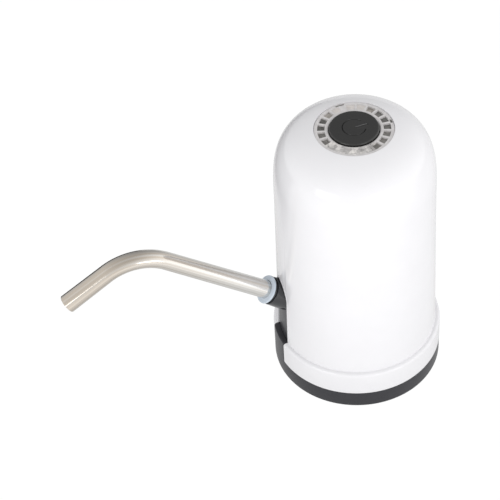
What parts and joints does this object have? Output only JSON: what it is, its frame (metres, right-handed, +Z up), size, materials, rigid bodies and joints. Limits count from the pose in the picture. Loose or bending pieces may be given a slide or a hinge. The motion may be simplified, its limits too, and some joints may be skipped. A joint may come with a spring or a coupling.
{
  "type": "bottled water pump",
  "caption": "Rechargeable pump for a large water bottle: white domed body on a black base that caps the bottle's neck, push button on top, bent steel spout.",
  "frame": {"origin": "centre of the flat face inside the base that rests on the bottle's mouth, which is the ceiling of the recess for the neck", "axes": "+Z up along the body's axis; -Y towards the spout; +X to the right of someone who faces the spout's side of the pump"},
  "size_m": [0.0732, 0.1636, 0.1304],
  "materials": {
    "white_abs": "glossy white ABS",
    "black_abs": "satin black ABS",
    "button_black": "satin black cap with an engraved power symbol",
    "clear_polycarbonate": "clear moulded polycarbonate",
    "pale_silicone": "translucent pale silicone",
    "grey_rubber": "dark grey rubber",
    "stainless_steel": "polished stainless steel",
    "zinc_steel": "bright zinc-plated steel",
    "ferrite": "dull sintered ferrite and carbon",
    "copper": "bare and lacquered copper",
    "brass": "bright brass",
    "natural_nylon": "natural engineering plastic",
    "board_green": "green lacquered fibreglass board",
    "chip_black": "black moulded epoxy",
    "cell_wrap": "cell can with a blue wrap",
    "wire_red": "red wire insulation",
    "wire_black": "black wire insulation",
    "led_white": "white LED package"
  },
  "bodies": {
    "housing": {"base_cup": "black_abs", "base_screw_1": "zinc_steel", "base_screw_2": "zinc_steel", "base_screw_3": "zinc_steel", "battery_cell": "cell_wrap", "battery_negative_tab": "zinc_steel", "battery_positive_tab": "zinc_steel", "board_screw_1": "zinc_steel", "board_screw_2": "zinc_steel", "button_board": "board_green", "button_lead": "grey_rubber", "chassis": "white_abs", "control_chip": "chip_black", "front_bearing": "brass", "front_brush": "ferrite", "front_terminal": "brass", "idler_pin": "zinc_steel", "inlet_tube": "pale_silicone", "led_1": "led_white", "led_2": "led_white", "led_3": "led_white", "led_4": "led_white", "left_magnet": "ferrite", "light_ring": "clear_polycarbonate", "main_board": "board_green", "motor_can": "zinc_steel", "motor_end_cap": "black_abs", "motor_front_wire": "wire_black", "motor_rear_wire": "wire_red", "neck_gasket": "grey_rubber", "negative_wire": "wire_black", "outer_shell": "white_abs", "outlet_tube": "pale_silicone", "positive_wire": "wire_red", "pump_body": "natural_nylon", "pump_cover": "natural_nylon", "pump_screw_1": "zinc_steel", "pump_screw_2": "zinc_steel", "rear_bearing": "brass", "rear_brush": "ferrite", "rear_terminal": "brass", "right_magnet": "ferrite", "ring_screw_1": "zinc_steel", "ring_screw_2": "zinc_steel", "ring_screw_3": "zinc_steel", "shaft_seal": "grey_rubber", "spine_panel": "black_abs", "suction_port": "natural_nylon", "switch_body": "chip_black", "usb_port": "zinc_steel"},
    "button": {"power_button": "button_black", "switch_plunger": "natural_nylon"},
    "seal": {"spout_seal": "pale_silicone"},
    "spout": {"spout_tube": "stainless_steel"},
    "rotor": {"motor_shaft": "stainless_steel", "armature": "copper", "commutator": "copper", "drive_gear": "natural_nylon"},
    "idler": {"idler_gear": "natural_nylon"}
  },
  "joints": [
    {"name": "button_press", "type": "slide", "parent": "housing", "child": "button", "axis": [0, 0, -1], "range_m": [0, 0.0005], "stiffness_N_per_m": 4000, "springref_m": -0.0002},
    {"name": "spout_swivel", "type": "hinge", "parent": "housing", "child": "seal", "pos_m": [0, -0.0333, 0.02455], "axis": [0, -0.7897, 0.6135], "continuous": true},
    {"name": "spout_pull", "type": "slide", "parent": "seal", "child": "spout", "axis": [0, -0.7897, 0.6135], "range_m": [0, 0.014]},
    {"name": "rotor_spin", "type": "hinge", "parent": "housing", "child": "rotor", "pos_m": [0.01, 0.006, 0.0145], "axis": [0, 0, 1], "continuous": true},
    {"name": "idler_spin", "type": "hinge", "parent": "housing", "child": "idler", "pos_m": [-0.0002, 0.006, 0.0145], "axis": [0, 0, 1], "continuous": true}
  ],
  "couplings": [
    {"joint": "idler_spin", "follows": "rotor_spin", "ratio": -1}
  ]
}
